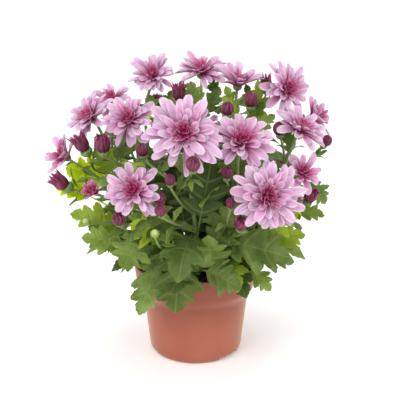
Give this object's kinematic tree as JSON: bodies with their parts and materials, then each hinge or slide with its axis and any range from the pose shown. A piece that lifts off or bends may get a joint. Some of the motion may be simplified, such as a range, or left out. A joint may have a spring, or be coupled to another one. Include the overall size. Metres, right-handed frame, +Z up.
{
  "type": "potted chrysanthemum",
  "caption": "Bushy potted chrysanthemum with pink double flowers, burgundy buds and lobed leaves in a tapered terracotta-coloured plastic nursery pot.",
  "frame": {"origin": "middle of the pot's underside, on the flat disc that it rests on", "axes": "+Z up along the pot's axis; the plant's front faces -Y and its right side, seen from the front, is towards +X"},
  "size_m": [0.2649, 0.2582, 0.2871],
  "materials": {
    "terracotta_plastic": "matte moulded plastic, terracotta coloured",
    "potting_soil": "dark damp potting soil, loose and rough",
    "leaves_and_stalks": "living leaves and stalks, matte green",
    "petals": "soft pink petals, satin",
    "bud_petals": "dark burgundy closed petals, satin"
  },
  "bodies": {
    "root": {"bloom_back_1": "petals", "bloom_back_2": "petals", "bloom_back_3": "petals", "bloom_back_left_1": "petals", "bloom_back_left_2": "petals", "bloom_back_left_3": "petals", "bloom_back_right_1": "petals", "bloom_back_right_2": "petals", "bloom_back_right_3": "petals", "bloom_back_right_4": "petals", "bloom_front_1": "petals", "bloom_front_left_1": "petals", "bloom_front_left_2": "petals", "bloom_front_left_3": "petals", "bloom_front_right_1": "petals", "bloom_front_right_2": "petals", "bloom_left_1": "petals", "bloom_left_2": "petals", "bloom_left_3": "petals", "bloom_mid_left_1": "petals", "bloom_mid_right_1": "petals", "bloom_mid_right_2": "petals", "bloom_right_1": "petals", "bloom_right_2": "petals", "bloom_right_3": "petals", "bud_back_right_1": "bud_petals", "bud_front_1": "bud_petals", "bud_front_2": "bud_petals", "bud_front_3": "bud_petals", "bud_front_4": "bud_petals", "bud_front_left_1": "bud_petals", "bud_front_left_2": "bud_petals", "bud_front_left_3": "bud_petals", "bud_front_right_1": "bud_petals", "bud_front_right_2": "bud_petals", "bud_front_right_3": "bud_petals", "bud_left_1": "bud_petals", "bud_left_2": "bud_petals", "bud_mid_left_1": "bud_petals", "bud_mid_left_2": "bud_petals", "bud_mid_left_3": "bud_petals", "bud_mid_right_1": "bud_petals", "bud_mid_right_2": "bud_petals", "bud_mid_right_3": "bud_petals", "bud_right_1": "bud_petals", "bud_right_2": "bud_petals", "bud_right_3": "bud_petals", "pot": "terracotta_plastic", "shoot_back": "leaves_and_stalks", "shoot_back_left": "leaves_and_stalks", "shoot_back_right": "leaves_and_stalks", "shoot_front": "leaves_and_stalks", "shoot_front_left": "leaves_and_stalks", "shoot_front_right": "leaves_and_stalks", "shoot_left": "leaves_and_stalks", "shoot_mid_left": "leaves_and_stalks", "shoot_mid_right": "leaves_and_stalks", "shoot_right": "leaves_and_stalks", "soil": "potting_soil"}
  },
  "joints": []
}
